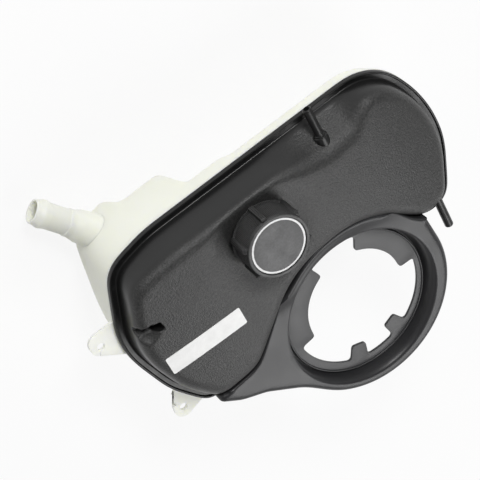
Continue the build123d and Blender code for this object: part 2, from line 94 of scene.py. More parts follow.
def rounded_loop(corners, counts=None, step=1.8):
    """Points and outward normals round a closed outline, with each corner's radius, and the counts used."""
    places = np.array([c[:2] for c in corners], float)
    radii = [c[2] for c in corners]
    size = len(corners)
    arcs = []
    for i in range(size):
        into = places[i] - places[i - 1]
        away = places[(i + 1) % size] - places[i]
        into, away = into / np.hypot(*into), away / np.hypot(*away)
        turn = atan2(into[0] * away[1] - into[1] * away[0], into @ away)
        reach = radii[i] * tan(abs(turn) / 2)
        side = 1 if turn > 0 else -1
        start = places[i] - into * reach
        middle = start + side * radii[i] * np.array((-into[1], into[0]))
        arcs.append((start, places[i] + away * reach, middle, side, into, turn))
    if counts is None:
        counts = []
        for i in range(size):
            gap = arcs[(i + 1) % size][0] - arcs[i][1]
            bend = max(3, int(radii[i] * abs(arcs[i][5]) / step))
            counts.append((bend, max(2, int(np.hypot(*gap) / step))))
    points, normals = [], []
    for i in range(size):
        start, end, middle, side, into, turn = arcs[i]
        bend, run = counts[i]
        for f in np.linspace(0, 1, bend + 1):
            a = turn * f
            along = np.array((into[0] * cos(a) - into[1] * sin(a), into[0] * sin(a) + into[1] * cos(a)))
            out = np.array((-along[1], along[0]))
            points.append(middle - side * radii[i] * out)
            normals.append(out)
        following = arcs[(i + 1) % size][0]
        for f in np.linspace(0, 1, run + 1)[1:-1]:
            points.append(end + (following - end) * f)
            normals.append(out)
    return np.array(points), np.array(normals), counts


def inside(points, loop):
    """Which points lie inside a closed loop."""
    x, y = points[:, 0], points[:, 1]
    hit = np.zeros(len(points), bool)
    for (x0, y0), (x1, y1) in zip(loop, np.roll(loop, -1, axis=0)):
        if y0 != y1:
            crosses = (y0 > y) != (y1 > y)
            hit ^= crosses & (x < (x1 - x0) * (y - y0) / (y1 - y0) + x0)
    return hit


def distance_to(points, loop, closed=True):
    """How far each point lies from a line of points."""
    ends = np.roll(loop, -1, axis=0)
    best = np.full(len(points), 1e9)
    for a, b in list(zip(loop, ends))[:None if closed else -1]:
        run = b - a
        length = run @ run
        if length < 1e-12:
            continue
        f = np.clip((points - a) @ run / length, 0, 1)
        best = np.minimum(best, np.hypot(*(points - a - f[:, None] * run).T))
    return best


def points_inside(loop, points, clear):
    """The points that lie inside a closed loop and clear of it."""
    return points[inside(points, loop) & (distance_to(points, loop) > clear)]


def grid_points(low, high, step):
    """A staggered grid of points over a rectangle."""
    xs = np.arange(low[0], high[0], step)
    ys = np.arange(low[1], high[1], step * 0.866)
    return np.array([(x + (step / 2 if j % 2 else 0), y) for j, y in enumerate(ys) for x in xs])


def mesh_object(name, points, faces, smooth=True, sharp=None):
    """A mesh object from points in millimetres, at the origin."""
    data = bpy.data.meshes.new(name)
    data.from_pydata([tuple(p) for p in np.asarray(points, float) * MM], [],
                     [tuple(map(int, face)) for face in faces])
    data.update()
    piece = bpy.data.objects.new(name, data)
    bpy.context.scene.collection.objects.link(piece)
    data.shade_smooth() if smooth else data.shade_flat()
    if sharp is not None:
        data.set_sharp_from_angle(angle=radians(sharp))
    return piece


def ring_quads(rings, count, closed=False):
    """Quads between rings that hold count points each; closed joins the last ring to the first."""
    quads = []
    for r in range(rings if closed else rings - 1):
        a, b = r * count, (r + 1) % rings * count
        for i in range(count):
            j = (i + 1) % count
            quads.append((a + i, a + j, b + j, b + i))
    return quads


def rings_object(name, rings, closed=False, sharp=35, flip=False):
    """A skin through rings of points with the same count, each ring running round the piece."""
    quads = ring_quads(len(rings), len(rings[0]), closed)
    return mesh_object(name, np.concatenate(rings), [q[::-1] for q in quads] if flip else quads, sharp=sharp)


def outwards(piece, cap_ends=False):
    """Merges doubles, or else caps the open ends, and turns every face outwards."""
    shape = bmesh.new()
    shape.from_mesh(piece.data)
    if cap_ends:
        bmesh.ops.holes_fill(shape, edges=shape.edges)
    else:
        bmesh.ops.remove_doubles(shape, verts=shape.verts, dist=1e-6)
    bmesh.ops.recalc_face_normals(shape, faces=shape.faces)
    shape.to_mesh(piece.data)
    shape.free()
    return piece


def apply_modifiers(piece):
    """Turns a piece with modifiers into a plain mesh."""
    view = bpy.context.evaluated_depsgraph_get()
    data = bpy.data.meshes.new_from_object(piece.evaluated_get(view))
    old = piece.data
    piece.modifiers.clear()
    piece.data = data
    bpy.data.meshes.remove(old)
    return piece


def turned(name, section, foot, axis, sides=96, sharp=30):
    """A closed ring section (radius, height) turned about an axis that starts at foot."""
    up = Vector(axis).normalized()
    side = up.orthogonal().normalized()
    other = up.cross(side)
    base = np.array(foot, float)
    rings = []
    for radius, height in section:
        rings.append(np.array([
            base + np.array(up) * height + radius * (np.array(side) * cos(a) + np.array(other) * sin(a))
            for a in np.linspace(0, 2 * pi, sides, endpoint=False)
        ]))
    piece = outwards(rings_object(name, rings, closed=True, sharp=sharp))
    piece.data.set_sharp_from_angle(angle=radians(sharp))
    return piece


def rounded_section(corners, bends=5):
    """A closed section with a radius at each corner (radius, height, corner radius)."""
    out = []
    size = len(corners)
    for i in range(size):
        here, before, after = (np.array(corners[k % size][:2], float) for k in (i, i - 1, i + 1))
        radius = corners[i][2]
        if radius <= 0:
            out.append(tuple(here))
            continue
        into, away = here - before, after - here
        into, away = into / np.hypot(*into), away / np.hypot(*away)
        turn = atan2(into[0] * away[1] - into[1] * away[0], into @ away)
        reach = radius * tan(abs(turn) / 2)
        start = here - into * reach
        side = 1 if turn > 0 else -1
        middle = start + side * radius * np.array((-into[1], into[0]))
        a0 = atan2(*(start - middle)[::-1])
        for f in np.linspace(0, 1, bends + 1):
            a = a0 + turn * f
            out.append((middle[0] + radius * cos(a), middle[1] + radius * sin(a)))
    return out


def set_attribute(piece, name, values):
    layer = piece.data.attributes.new(name, "FLOAT", "POINT")
    layer.data.foreach_set("value", np.asarray(values, np.float32))


def points_of(piece):
    flat = np.zeros(len(piece.data.vertices) * 3)
    piece.data.vertices.foreach_get("co", flat)
    return flat.reshape(-1, 3) / MM


def relaxed(values, rounds):
    """Evens out sudden changes in values that run round a closed outline."""
    for _ in range(rounds):
        values = 0.5 * values + 0.25 * (np.roll(values, 1, axis=0) + np.roll(values, -1, axis=0))
    return values


def outline_normals(loop):
    """Outward normals of a closed outline, from each point's neighbours."""
    along = np.roll(loop, -1, axis=0) - np.roll(loop, 1, axis=0)
    along /= np.hypot(*along.T)[:, None]
    return np.c_[-along[:, 1], along[:, 0]]


def soft_outline(corners, counts=None):
    """A rounded outline whose bends flow into its straights, with its outward normals."""
    loop, _, counts = rounded_loop(corners, counts)
    loop = relaxed(loop, 24)
    return loop, outline_normals(loop), counts


# Outlines that the shells share
foot_loop, foot_out, loop_counts = soft_outline(FOOT)
crown_loop, crown_out, _ = soft_outline(CROWN, loop_counts)


def foot_inset(inset):
    """The shells' shared outline, moved inwards."""
    return foot_loop - foot_out * inset


def crown_height(x, y):
    """The crown is part of a large sphere and falls away a little more at the far end."""
    far = CROWN_RADIUS ** 2 - (x - CROWN_MIDDLE[0]) ** 2 - (y - CROWN_MIDDLE[1]) ** 2
    beyond = np.maximum(CROWN_FALL_X - x, 0)
    return CROWN_Z - CROWN_RADIUS + np.sqrt(far) - beyond ** 2 / CROWN_FALL


def at_height(plan, z):
    return np.c_[plan, np.full(len(plan), float(z))]


def scoop_depth(x):
    """The hose routing scoop's share of its depth along the front shoulder."""
    return smoothstep(-170, -238, x) * (1 - smoothstep(-254, -284, x))


def dish_height(x, y):
    """The round dish about the filler neck."""
    far = (x - NECK[0]) ** 2 + (y - NECK[1]) ** 2
    return DISH_Z + DISH_RADIUS - np.sqrt(np.maximum(DISH_RADIUS ** 2 - far, 1.0))


# The hose clip's pocket near the outlet end: narrow at the wall, wider inwards
POCKET = [(-4.0, -75.5, 1.0), (-17.5, -68.5, 3.0), (-33.0, -65.5, 1.6), (-34.5, -55.5, 1.8), (-5.0, -68.0, 1.0)]
POCKET_FLOOR = 26.0
pocket_loop, pocket_out, _ = rounded_loop(POCKET[::-1], step=0.9)


def pocket_distance(x, y):
    """How far outside the clip pocket's outline a place is, less than nothing inside."""
    places = np.c_[x, y]
    far = distance_to(places, pocket_loop)
    return np.where(inside(places, pocket_loop), -far, far)


def pocket_ring(out):
    """Places round the pocket's outline, moved out."""
    middle = pocket_loop.mean(0)
    side = np.sign(np.sum((pocket_loop - middle) * pocket_out, axis=1).mean())
    return pocket_loop + side * pocket_out * out


def dome_features(x, y, z):
    """Lowers the plain dome into its dish, pocket and the crescent dip beside the pocket."""
    z = soft_min(z, dish_height(x, y), 4.0)
    bowl_x, bowl_y = (x - CRESCENT_AT[0]) / CRESCENT_HALF[0], (y - CRESCENT_AT[1]) / CRESCENT_HALF[1]
    bowl = CRESCENT_Z + CRESCENT_RISE * (bowl_x ** 2 + bowl_y ** 2)
    z = np.where(z > 24, soft_min(z, np.minimum(bowl, 80.0), 0.8), z)
    far = pocket_distance(x, y)
    sunk = np.minimum(z, POCKET_FLOOR)
    return z + (sunk - z) * smoothstep(0.8, -0.6, far)


def dome_rings():
    """The dome's wall and shoulder: rings in plan, and their heights, from the rim's groove to the crown's edge."""
    foot, crown = foot_inset(FLANGE_WIDE), crown_loop.copy()
    crown[:, 1] += np.where(crown_out[:, 1] < -0.5, SCOOP_DEEP * scoop_depth(crown[:, 0]), 0)
    run, rise = crown - foot, DRAFT_TOP - DECK_Z
    # Where each leaning line of the wall would meet the crown, as a share of its rise
    f = np.full(len(foot), 0.95)
    for _ in range(4):
        corner = foot + run * f[:, None]
        f = (crown_height(*corner.T) - DECK_Z) / rise
    corner, corner_z = foot + run * f[:, None], DECK_Z + f * rise
    # The shoulder starts some way down that line and ends some way across the crown, further at the rear
    inward = relaxed(-outline_normals(crown), 12)
    inward /= np.hypot(*inward.T)[:, None]
    rear = smoothstep(0.0, 0.9, foot_out[:, 1])
    down = relaxed(11.0 + 4.0 * rear, 20)
    across = relaxed(10.0 + 3.0 * rear, 20)
    share = f - down / np.hypot(np.hypot(*run.T), rise)
    start, start_z = foot + run * share[:, None], DECK_Z + share * rise
    end = corner + inward * across[:, None]
    end_z = crown_height(*end.T)
    plan, height = [], []
    for a, z in ((-1.1, 6.0), (-0.45, 6.12), (0.0, 6.5), (0.15, 7.0)):
        plan.append(foot - foot_out * a)
        height.append(np.full(len(foot), z))
    for t in np.linspace(0, 1, 9)[1:]:
        way = 0.04 + (share - 0.04) * t
        plan.append(foot + run * way[:, None])
        height.append(DECK_Z + way * rise)
    for t in np.linspace(0, 1, 14)[1:]:
        w0, w1, w2 = (1 - t) ** 2, 2 * t * (1 - t), t * t
        plan.append(w0 * start + w1 * corner + w2 * end)
        height.append(w0 * start_z + w1 * corner_z + w2 * end_z)
    for more in (1.5, 3.0):
        plan.append(end + inward * more)
        height.append(crown_height(*plan[-1].T))
    return plan, height


def dome_skin():
    """The dome as one soft skin: rings of quads, and a filled crown that is finer round the pocket."""
    plan, height = dome_rings()
    last = plan[-1]
    coarse = points_inside(last, grid_points(last.min(0), last.max(0), 3.2), 1.6)
    fine = points_inside(last, grid_points((-48, -90), (0, -44), 1.3), 0.9)
    fine_away = pocket_distance(*fine.T)
    lines = np.concatenate([pocket_ring(out) for out in (1.3, 0.8, 0.4, 0.1, -0.2, -0.6)])
    inner = np.concatenate([
        coarse[pocket_distance(*coarse.T) > 12],
        fine[(fine_away < 12) & (np.abs(fine_away - 0.3) > 1.5)],
        points_inside(last, lines, 0.5),
    ])
    faces = ring_quads(len(plan), len(last)) + filled(last, inner, (len(plan) - 1) * len(last))
    places = np.concatenate(plan + [inner])
    heights = dome_features(*places.T, np.concatenate(height + [crown_height(*inner.T)]))
    return facing(outwards(mesh_object("dome_skin", np.c_[places, heights], faces)), 1)


def filled(outer, inner, start):
    """Triangles inside a loop over its own points and inner ones, numbered from start."""
    plan = np.concatenate([outer, inner])
    edges = [(i, (i + 1) % len(outer)) for i in range(len(outer))]
    got = delaunay_2d_cdt([Vector(p) for p in plan], edges, [], 0, 1e-5)
    back = [olds[0] if olds else -1 for olds in got[3]]
    corners = np.array([(back[a], back[b], back[c]) for a, b, c in got[2]])
    corners = corners[(corners >= 0).all(1)]
    corners = corners[inside(plan[corners].mean(1), outer)]
    return [tuple(start + v for v in face) for face in corners.tolist()]


def facing(piece, side):
    """Turns the faces of an open skin upwards (side 1) or downwards (side -1)."""
    data = piece.data
    if side * sum(face.normal.z * face.area for face in data.polygons) < 0:
        data.flip_normals()
    return piece


def holed_plate(name, outer, hole, top, thick, bevel_wide=0.7):
    """A flat plate between an outer loop and a hole, thickened downwards, with softened edges."""
    plan = np.concatenate([outer, hole])
    n, m = len(outer), len(hole)
    edges = [(i, (i + 1) % n) for i in range(n)] + [(n + i, n + (i + 1) % m) for i in range(m)]
    got = delaunay_2d_cdt([Vector(p) for p in plan], edges, [], 0, 1e-6)
    corners = np.array([[got[3][v][0] for v in face] for face in got[2]])
    middles = plan[corners].mean(1)
    corners = corners[inside(middles, outer) & ~inside(middles, hole)]
    piece = facing(mesh_object(name, at_height(plan, top), corners.tolist()), 1)
    solid = piece.modifiers.new("thick", "SOLIDIFY")
    solid.thickness, solid.offset = thick * MM, -1
    bevel = piece.modifiers.new("edges", "BEVEL")
    bevel.width, bevel.segments = bevel_wide * MM, 3
    bevel.limit_method, bevel.angle_limit = "ANGLE", radians(40)
    apply_modifiers(piece)
    piece.data.shade_smooth()
    piece.data.set_sharp_from_angle(angle=radians(40))
    return piece


def circle(middle, radius, sides):
    return np.array([(middle[0] + radius * cos(a), middle[1] + radius * sin(a))
                     for a in np.linspace(0, 2 * pi, sides, False)])


dome = dome_skin()


def shell_rim():
    """The weld flange with its raised lip and the groove inside it."""
    section = [
        (9.4, 3.0), (0.35, 3.0), (0.0, 3.3), (0.0, 7.2), (0.25, 7.8), (0.75, 8.0), (1.35, 8.0), (1.85, 7.75),
        (2.0, 7.2), (2.1, 6.5), (2.5, 6.08), (3.2, 6.0), (5.9, 6.0),
    ]
    return rings_object("shell_rim", [at_height(foot_inset(d), z) for d, z in section], flip=True)


rim = shell_rim()


def hose_stub(name, root, axis, length, collar_long):
    """A thin hose stub with a rounded end, a stepped collar at its root and a softly domed tip."""
    r, bore, collar = 4.0, 2.6, 6.2
    section = rounded_section([
        (bore, 0, 0), (collar, 0, 0), (collar, collar_long, 0.7), (r + 1.0, collar_long + 0.2, 0.3),
        (r + 0.9, collar_long + 1.6, 0.5), (r, collar_long + 1.9, 0.3), (r, length, 1.4), (bore, length, 0.5),
        (bore, 2, 0),
    ])
    return turned(name, section, root, axis, sides=48)


front_stub = hose_stub("front_stub", (-231, -97, 24), (0, -1, 0), 41.5, 11.5)
rear_stub = hose_stub("rear_stub", (-301.5, 25, 18), (0, 1, 0), 40.5, 4.0)


def neck_tube():
    """The filler neck with its throat, and the coarse thread that the cap runs on."""
    section = rounded_section([
        (17, 32, 0), (24.6, 32, 0), (24.6, 61.6, 0.9), (21, 61.6, 0.7), (21, 37, 0.5), (17, 37, 0.3),
    ])
    tube = turned("neck_tube", section, (*NECK, 0), (0, 0, 1), sides=128)
    pitch, foot_z, root_r, length = 4.0, 47, 24.3, 2 * pi * 2.2
    rings = []
    for a in np.linspace(0, length, 220):
        fade = min(1.0, a / 0.5, (length - a) / 0.5)
        middle = np.array((NECK[0], NECK[1], foot_z + pitch * a / (2 * pi)))
        out = np.array((cos(a), sin(a), 0))
        crest = 24.4 + 1.3 * fade
        rings.append(np.array([middle + out * root_r + (0, 0, -1.1), middle + out * crest + (0, 0, -0.4),
                               middle + out * crest + (0, 0, 0.4), middle + out * root_r + (0, 0, 1.1)]))
    return tube, outwards(rings_object("neck_thread", rings, sharp=40), cap_ends=True)


neck, thread = neck_tube()

# The collar panel: its outer edge is a belt round the ring, cut by the dome with a fine gap
PANEL_TOP, PANEL_FOOT, PANEL_ROUND = 31.0, 10.0, 6.0
PANEL_BELT = [(-195.5, 66.5, 89.0), (-46.0, 54.0, 4.5), (-277.0, 30.0, 4.5)]
PANEL_GAP, PANEL_LAP, GAP_Z, DRAWN_IN = 0.9, 5.6, 28.0, 8.0
TOOTH_DECK, TOOTH_MIDDLE = 19.5, (-191.6, 66.4)
BELL_MIDDLE, BELL_FOOT_R, BELL_SPREAD = (-193.0, 69.4), 72.0, 5.5


def hull_loop(circles, step=2.0):
    """The outline of a belt round circles (x, y, radius), anticlockwise."""
    cloud = np.array([(x + r * cos(a), y + r * sin(a)) for x, y, r in circles
                      for a in np.linspace(0, 2 * pi, 720, endpoint=False)])
    order = np.lexsort((cloud[:, 1], cloud[:, 0]))
    cloud = cloud[order]

    def half(points):
        chain = []
        for p in points:
            while len(chain) > 1:
                (ax, ay), (bx, by) = chain[-2], chain[-1]
                if (bx - ax) * (p[1] - ay) - (by - ay) * (p[0] - ax) > 0:
                    break
                chain.pop()
            chain.append(tuple(p))
        return chain[:-1]
    chain = np.array(half(cloud) + half(cloud[::-1]))
    return resample(chain, step)


def resample(loop, step):
    """A closed loop with rows at an even spacing in plan; further columns follow."""
    closed = np.vstack([loop, loop[:1]])
    along = np.r_[0, np.cumsum(np.hypot(*np.diff(closed[:, :2], axis=0).T))]
    places = np.linspace(0, along[-1], int(along[-1] / step) + 1)[:-1]
    return np.stack([np.interp(places, along, column) for column in closed.T], axis=1)


def dome_wall_loop(z, out):
    """The dome's outline at a height, moved out from the wall."""
    f = (z - DECK_Z) / (DRAFT_TOP - DECK_Z)
    loop = foot_inset(FLANGE_WIDE) * (1 - f) + crown_loop * f
    return loop + foot_out * out


def ray_reach(loop, angles):
    """How far along each ray from the ring's centre the loop is first met."""
    rel = loop - np.array(RING)
    nxt = np.roll(rel, -1, axis=0)
    out = []
    for a in angles:
        d = np.array((cos(a), sin(a)))
        s0, s1 = rel[:, 0] * d[1] - rel[:, 1] * d[0], nxt[:, 0] * d[1] - nxt[:, 1] * d[0]
        meets = (s0 > 0) != (s1 > 0)
        if not meets.any():
            out.append(1e4)
            continue
        f = s0[meets] / (s0[meets] - s1[meets])
        at = rel[meets] + (nxt[meets] - rel[meets]) * f[:, None]
        reach = at @ d
        reach = reach[reach > 0]
        out.append(reach.min() if len(reach) else 1e4)
    return np.array(out)


def panel_boundary():
    """The panel's edge round the ring: plan, height, share of its lift on to the dome, whether it meets it."""
    belt = hull_loop(PANEL_BELT)
    turn = np.arange(-180, 180, 0.25)
    angles = np.radians(turn)
    way = np.c_[np.cos(angles), np.sin(angles)]
    own = ray_reach(belt, angles)
    # The edge draws in a little between the ring and the tip that runs along the tank
    place = np.array(RING) + way * own[:, None]
    drawn = smoothstep(-140, -96, place[:, 0]) * (1 - smoothstep(-74, -54, place[:, 0])) * (place[:, 1] > 55)
    own = own - DRAWN_IN * drawn
    wall = ray_reach(dome_wall_loop(GAP_Z, PANEL_GAP), angles)
    shoulder = ray_reach(crown_loop, angles) + PANEL_LAP
    lift = smoothstep(-156, -127, turn) * (1 - smoothstep(-56, -34, turn))
    dome_side = wall + (shoulder - wall) * lift
    meets = dome_side < own
    place = np.array(RING) + way * np.minimum(own, dome_side)[:, None]
    top = relaxed(np.maximum(crown_height(*place.T) - 1.4, PANEL_TOP), 60)
    height = PANEL_TOP + (top - PANEL_TOP) * lift
    return resample(np.c_[place, height, lift, meets], 1.4)


def bell_circle(z):
    """The bell mouth's plan at a height: it leans back on the side away from the dome."""
    up = np.clip((z - TOOTH_DECK) / (PANEL_TOP - TOOTH_DECK), 0, 1)
    middle = np.array(TOOTH_MIDDLE) * (1 - up) + np.array(BELL_MIDDLE) * up
    return middle, BELL_FOOT_R + BELL_SPREAD * up


def panel_skin():
    """The panel's top, its rolled outer edge and the bell mouth down to the groove round the toothed ring."""
    rows = panel_boundary()
    edge, edge_z, lift, meets = rows[:, :2], rows[:, 2], rows[:, 3], rows[:, 4] > 0.5
    angles = np.arctan2(edge[:, 1] - RING[1], edge[:, 0] - RING[0])
    way = np.c_[np.cos(angles), np.sin(angles)]
    # The small bead round the toothed ring and the groove outside it
    bead = ((69.3, 17.5), (69.4, 19.9), (69.9, 20.4), (70.6, 20.4), (71.0, 19.9), (71.2, 18.4), (71.6, 17.5),
            (72.3, 17.3))
    rings = [at_height(np.array(TOOTH_MIDDLE) + r * way, z) for r, z in bead]
    # Up the bell: a leaning wall, then a roll at the crest; shares of its spread and of its rise
    bell = ((0.08, -0.16), (0.15, -0.06), (0.22, 0.10), (0.30, 0.30), (0.38, 0.48), (0.46, 0.63), (0.55, 0.75),
            (0.65, 0.86), (0.76, 0.93), (0.88, 0.98), (1.0, 1.0))
    for spread, rise in bell:
        middle, radius = bell_circle(TOOTH_DECK + spread * (PANEL_TOP - TOOTH_DECK))
        rings.append(at_height(middle + radius * way, TOOTH_DECK + rise * (PANEL_TOP - TOOTH_DECK)))
    crest, top_start = rings[-1][:, :2], len(rings) - 1
    ways = (0.0, 0.1, 0.2, 0.32, 0.45, 0.58, 0.7, 0.8, 0.87, 0.925, 0.96, 0.983, 0.996, 1.0)
    rings += [at_height(crest + (edge - crest) * t, PANEL_TOP) for t in ways[1:]]
    for k, t in zip(range(top_start, len(rings)), ways):
        far = distance_to(rings[k][:, :2], edge)
        away = distance_to(rings[k][:, :2], edge[meets], closed=False)
        roll = np.where(away < far + 0.4, 2.0 * (1 - lift) + 0.02, PANEL_ROUND)
        drop = roll - np.sqrt(np.maximum(roll ** 2 - np.maximum(roll - far, 0) ** 2, 0))
        rings[k][:, 2] = PANEL_TOP + (edge_z - PANEL_TOP) * t ** 1.3 - drop
    for z in (22.0, 18.0, 14.0, 11.0, PANEL_FOOT):
        rings.append(np.c_[edge, np.minimum(rings[-1][:, 2] - 0.8, z)])
    inward = edge - np.array(RING)
    inward /= np.hypot(*inward.T)[:, None]
    rings.append(np.c_[edge - inward * WALL * 0.8, rings[-1][:, 2]])
    return facing(outwards(rings_object("panel_skin", rings, sharp=50)), 1)


panel = panel_skin()


def toothed_ring():
    """The flat ring inside the bell mouth with its two wide and two narrow teeth."""
    gap, tip, round_r = 64.0, 49.0, 3.8
    corners = []
    for start, end in ((-69, 6), (61, 77), (103, 119), (177, 247)):
        corners += [(gap, start, round_r), (tip, start, round_r), (tip, end, round_r), (gap, end, round_r)]
    path = []
    for i, (r, a, fillet) in enumerate(corners):
        p = np.array((r * cos(radians(a)), r * sin(radians(a))))
        out = p / np.hypot(*p)
        tangent = np.array((-out[1], out[0]))
        legs = ((-tangent, -out), (out, tangent), (-tangent, out), (-out, tangent))[i % 4]
        for t in np.linspace(0, 1, 6):
            w0, w1, w2 = (1 - t) ** 2, 2 * t * (1 - t), t * t
            path.append(w0 * (p + legs[0] * fillet) + w1 * p + w2 * (p + legs[1] * fillet))
        if i % 4 in (1, 3):
            # The arc along a tooth's tip, or across a gap, to the next corner
            to = corners[(i + 1) % len(corners)][1]
            to += 360 if to < a else 0
            for b in np.linspace(a, to, int((to - a) / 2) + 1)[1:-1]:
                if min(b - a, to - b) * r * pi / 180 > fillet + 1:
                    path.append(np.array((r * cos(radians(b)), r * sin(radians(b)))))
    inner = np.array(path) + np.array(RING)
    return holed_plate("toothed_ring", circle(TOOTH_MIDDLE, 71.2, 180), inner, TOOTH_DECK, 2.5)


teeth = toothed_ring()


def soft_profile(places, knots, heights):
    """A profile of straight runs whose bends are evened out, read at whole millimetres."""
    profile = np.pad(np.interp(places, knots, heights), 6, mode="edge")
    return np.convolve(profile, np.hanning(15)[1:-1] / np.hanning(15).sum(), "valid")


def tub_floor(x, y):
    """The stepped floor: the lower tub's side profile and its keel's profile, whichever is higher."""
    xs, ys = np.arange(-360.0, 40.0, 1.0), np.arange(-140.0, 90.0, 1.0)
    side = soft_profile(xs, (-165, -156, -121.5, -112, -72, -61, -19, 18.5),
                        (-17, -22, -22, -57, -57, -76, -76, -25))
    keel = soft_profile(ys, (-110, -55, -22), (-79, -36, -17))
    return -soft_min(-np.interp(x, xs, side), -np.interp(y, ys, keel), 5.0)


SCREW_LINE, SCREW_ANGLES, SCREW_BAY = 82.6, (-128, -103, -77, -52), 4.3
SCREWS = [(-190 + SCREW_LINE * cos(radians(a)), 64 + SCREW_LINE * sin(radians(a))) for a in SCREW_ANGLES]


def clear_of_screws(plan):
    """Pushes the tub's wall inwards round the bay under each panel screw."""
    moved = plan.copy()
    for spot in SCREWS:
        near = np.hypot(*(moved - spot).T)
        for i in np.nonzero(near < SCREW_BAY * 1.5)[0]:
            # Slides the point inwards along its normal until it is on the bay's rim
            rel = moved[i] - spot
            inward = -foot_out[i]
            b = rel @ inward
            c = rel @ rel - SCREW_BAY * SCREW_BAY
            if c < 0:
                moved[i] = moved[i] + inward * (-b + (b * b - c) ** 0.5)
    return moved


def lower_tub():
    """The tub: a leaning wall down from the flange, a soft foot and the stepped floor."""
    round_r, bottom = 7.0, foot_inset(4.0)
    rings = [at_height(foot_inset(2.2), 0.0), at_height(clear_of_screws(foot_inset(2.6)), -0.5)]
    start_z = tub_floor(*bottom.T) + round_r
    for t in np.linspace(0, 1, 9)[1:]:
        plan = clear_of_screws(foot_inset(2.6) * (1 - t) + bottom * t)
        rings.append(np.c_[plan, -0.5 + (start_z + 0.5) * t])
    for phi in np.radians(np.linspace(0, 90, 9)[1:]):
        plan = bottom - foot_out * round_r * (1 - cos(phi))
        rings.append(np.c_[plan, tub_floor(*plan.T) + round_r * (1 - sin(phi))])
    last = rings[-1][:, :2]
    inner = points_inside(last, grid_points(last.min(0), last.max(0), 3.2), 1.6)
    faces = ring_quads(len(rings), len(last)) + filled(last, inner, (len(rings) - 1) * len(last))
    points = np.concatenate(rings + [np.c_[inner, tub_floor(*inner.T)]])
    return facing(outwards(mesh_object("lower_tub", points, faces)), -1)


tub = lower_tub()


def lower_flange():
    """The lower shell's half of the weld flange."""
    section = [
        (9.4, 3.0), (0.5, 3.0), (0.12, 2.85), (0.0, 2.5), (0.0, 0.5), (0.15, 0.15), (0.5, 0.0), (2.4, 0.0),
        (9.4, 0.0),
    ]
    return rings_object("lower_flange", [at_height(foot_inset(d), z) for d, z in section])


flange = lower_flange()


def weld_bead():
    """The thin bead of plastic squeezed out where the two flanges are welded."""
    rng = np.random.default_rng(11)
    swell = np.convolve(rng.normal(0, 1, len(foot_loop) + 8), np.ones(9) / 9, "valid") * 0.12
    size = 0.42 + swell
    rings = []
    for a in np.radians(np.arange(0, 360, 60)):
        plan = foot_loop + foot_out * (size * cos(a) - 0.05)[:, None]
        rings.append(np.c_[plan, WELD_Z + size * sin(a)])
    return outwards(rings_object("weld_bead", rings, closed=True, sharp=180))


bead = weld_bead()


def outlet_spigot():
    """The bottom outlet: a hollow barrel with a stepped root and a hose bead, leaning a little downwards."""
    turn, fall = radians(-55.8), radians(7.5)
    axis = (cos(turn) * cos(fall), sin(turn) * cos(fall), -sin(fall))
    section = rounded_section([
        (8.6, -18, 0), (15.5, -18, 0), (14.3, 2, 2), (12.3, 9, 2), (12.1, 13.5, 0.5), (11.4, 14.2, 0.5),
        (11.3, 32, 2), (12.3, 36.6, 1), (12.3, 38.6, 0.8), (11.0, 42, 0.6), (10.7, 46, 1.0), (8.6, 46, 0.6),
    ])
    return turned("outlet_spigot", section, (-32.8, -122, -58), axis, sides=96)


spigot = outlet_spigot()


TAB_TOP, TAB_THICK, TAB_HOLE_R = 2.98, 2.96, 3.5


def mounting_tab(name, circles, hole):
    """A flat tab drawn round circles, with a bolt hole and softened edges."""
    return holed_plate(name, hull_loop(circles, step=1.2), circle(hole, TAB_HOLE_R, 40), TAB_TOP, TAB_THICK)


end_tab = mounting_tab("end_tab", [(14.5, -58.5, 9.5), (14.75, -55, 9.2), (-8, -62, 6), (-6, -32, 4)],
                       (14.75, -54.65))
rear_tab = mounting_tab("rear_tab", [(-14.75, 56, 9.3), (-12.5, 50.5, 6), (-24, 30, 6), (-40, 52, 6)],
                        (-14.75, 54.65))

# The screw cap
CAP_TOP, CAP_FOOT, CAP_R, CAP_FOOT_R, CAP_BORE, CAP_CEILING = 68.0, 42.5, 29.0, 30.0, 26.0, 64.8
FACE_R, FACE_Z = 25.5, 67.2


def cap_body():
    """The cap's skirt, its wider foot, the raised border round its face and its hollow."""
    section = rounded_section([
        (0, CAP_CEILING, 0), (CAP_BORE, CAP_CEILING, 0.4), (CAP_BORE, CAP_FOOT, 0.3),
        (CAP_FOOT_R, CAP_FOOT, 0.6), (CAP_FOOT_R + 0.4, 44.4, 0.4), (CAP_R, 44.9, 0.3),
        (CAP_R - 0.2, CAP_TOP, 0.8), (FACE_R + 0.3, CAP_TOP, 0.4), (FACE_R, FACE_Z - 0.6, 0), (0, FACE_Z - 0.6, 0),
    ])
    return turned("cap_body", section, (*NECK, 0), (0, 0, 1), sides=144)


def cap_disc():
    """The disc let into the cap's top, very slightly crowned, with a fine gap round it."""
    section = rounded_section([
        (0, FACE_Z - 0.6, 0), (FACE_R - 0.15, FACE_Z - 0.6, 0), (FACE_R - 0.15, FACE_Z - 0.05, 0.2),
        (20, FACE_Z + 0.05, 0), (12, FACE_Z + 0.12, 0), (0, FACE_Z + 0.15, 0),
    ])
    return turned("cap_disc", section, (*NECK, 0), (0, 0, 1), sides=144)


